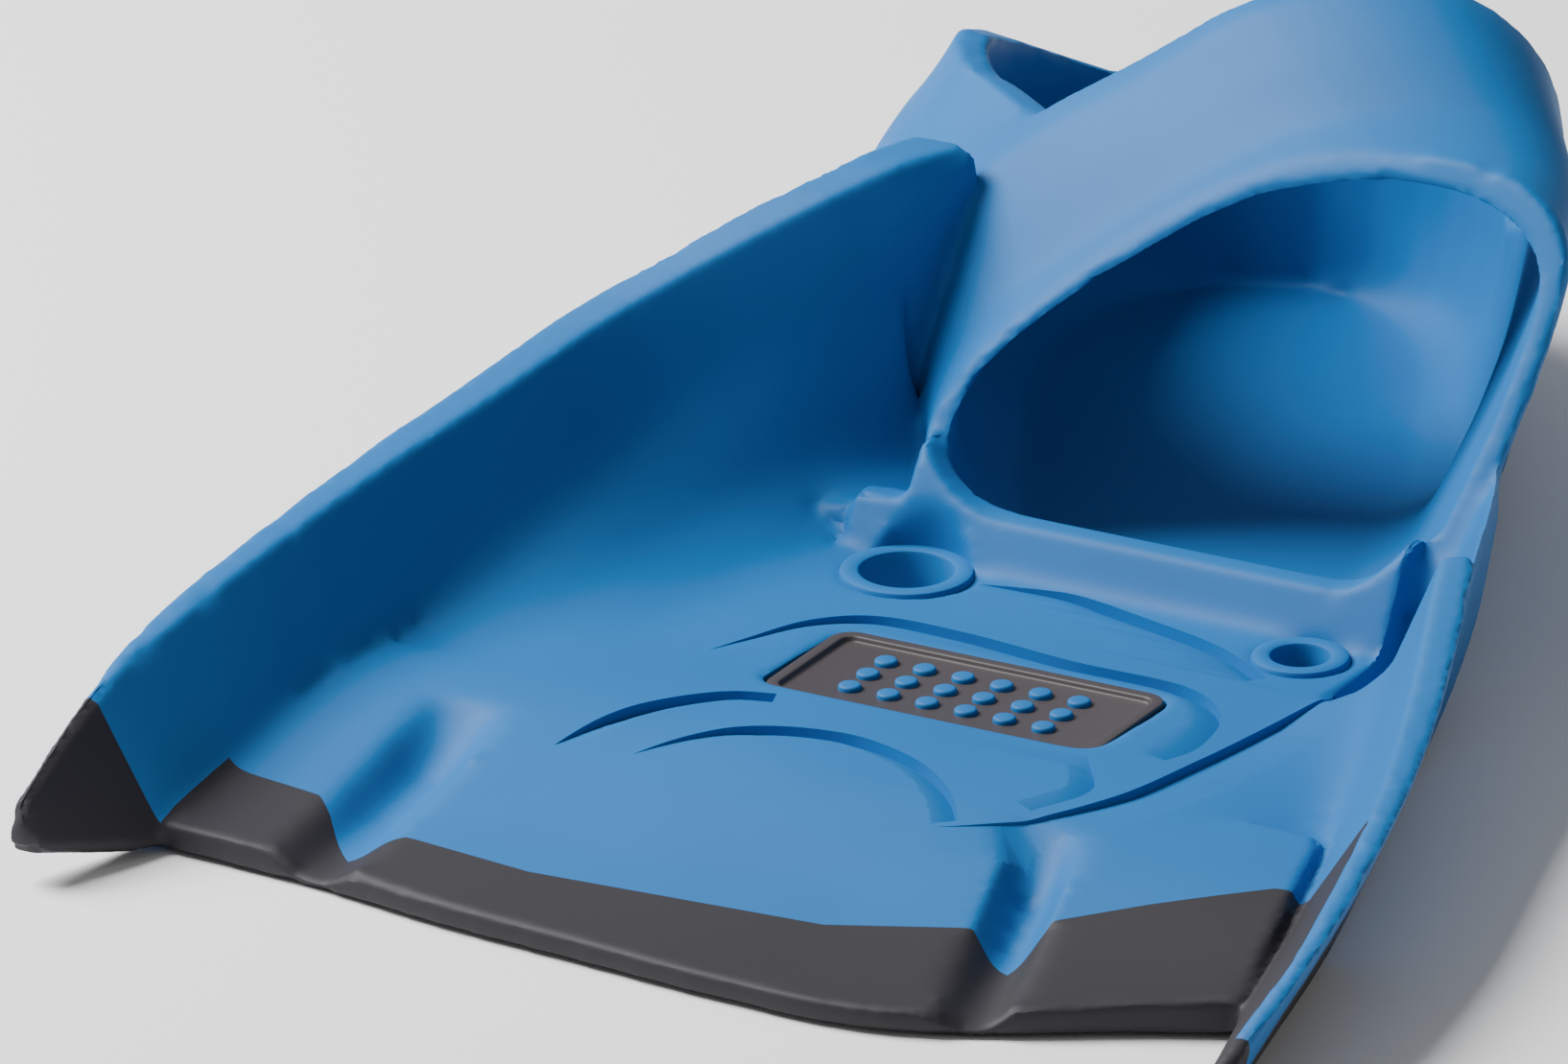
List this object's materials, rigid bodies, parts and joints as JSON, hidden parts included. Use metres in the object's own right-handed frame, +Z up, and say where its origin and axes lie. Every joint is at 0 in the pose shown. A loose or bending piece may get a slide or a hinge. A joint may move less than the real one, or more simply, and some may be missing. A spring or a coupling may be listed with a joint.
{
  "type": "swim fin",
  "caption": "Short-blade silicone swim fin for the right foot: open-toe foot pocket with an instep band and heel strap, side rails, grooved blade with a dark tip, ringed platform and badge.",
  "frame": {"origin": "on the floor under the sole, midway along the length and the width", "axes": "+X to the big-toe side, +Y from the blade's tip to the heel, +Z up"},
  "size_m": [0.2182, 0.3193, 0.0922],
  "materials": {
    "blue_silicone": "satin moulded silicone",
    "charcoal_silicone": "satin moulded silicone",
    "badge_grey": "satin"
  },
  "bodies": {
    "foot_pocket": {"sole_plate": "blue_silicone", "toe_lip": "blue_silicone", "instep_band": "blue_silicone", "side_wall_lateral": "blue_silicone", "side_wall_medial": "blue_silicone", "platform": "blue_silicone", "drain_ring_lateral": "blue_silicone", "drain_ring_medial": "blue_silicone", "rail_root_lateral": "blue_silicone", "rail_root_medial": "blue_silicone", "fairing_lateral": "blue_silicone", "fairing_medial": "blue_silicone", "badge_plate": "badge_grey", "badge_bed": "blue_silicone"},
    "blade": {"panel_centre": "blue_silicone", "panel_lateral": "blue_silicone", "panel_medial": "blue_silicone", "channel_lateral": "blue_silicone", "channel_medial": "blue_silicone", "side_rail_lateral": "blue_silicone", "side_rail_medial": "blue_silicone", "tip_panel_centre": "charcoal_silicone", "tip_panel_lateral": "charcoal_silicone", "tip_panel_medial": "charcoal_silicone", "tip_channel_lateral": "charcoal_silicone", "tip_channel_medial": "charcoal_silicone", "tip_rail_lateral": "charcoal_silicone", "tip_rail_medial": "charcoal_silicone"},
    "heel_strap": {"heel_strap": "blue_silicone"}
  },
  "joints": [
    {"name": "blade_flex", "type": "hinge", "parent": "foot_pocket", "child": "blade", "pos_m": [0, -0.097, 0.009], "axis": [1, 0, 0], "range_deg": [-20, 20], "stiffness_Nm_per_rad": 6},
    {"name": "heel_strap_fold", "type": "hinge", "parent": "foot_pocket", "child": "heel_strap", "pos_m": [-0.02534, 0.09681, 0.033], "axis": [0.9272, 0.3746, 0], "range_deg": [0, 30], "stiffness_Nm_per_rad": 1}
  ]
}
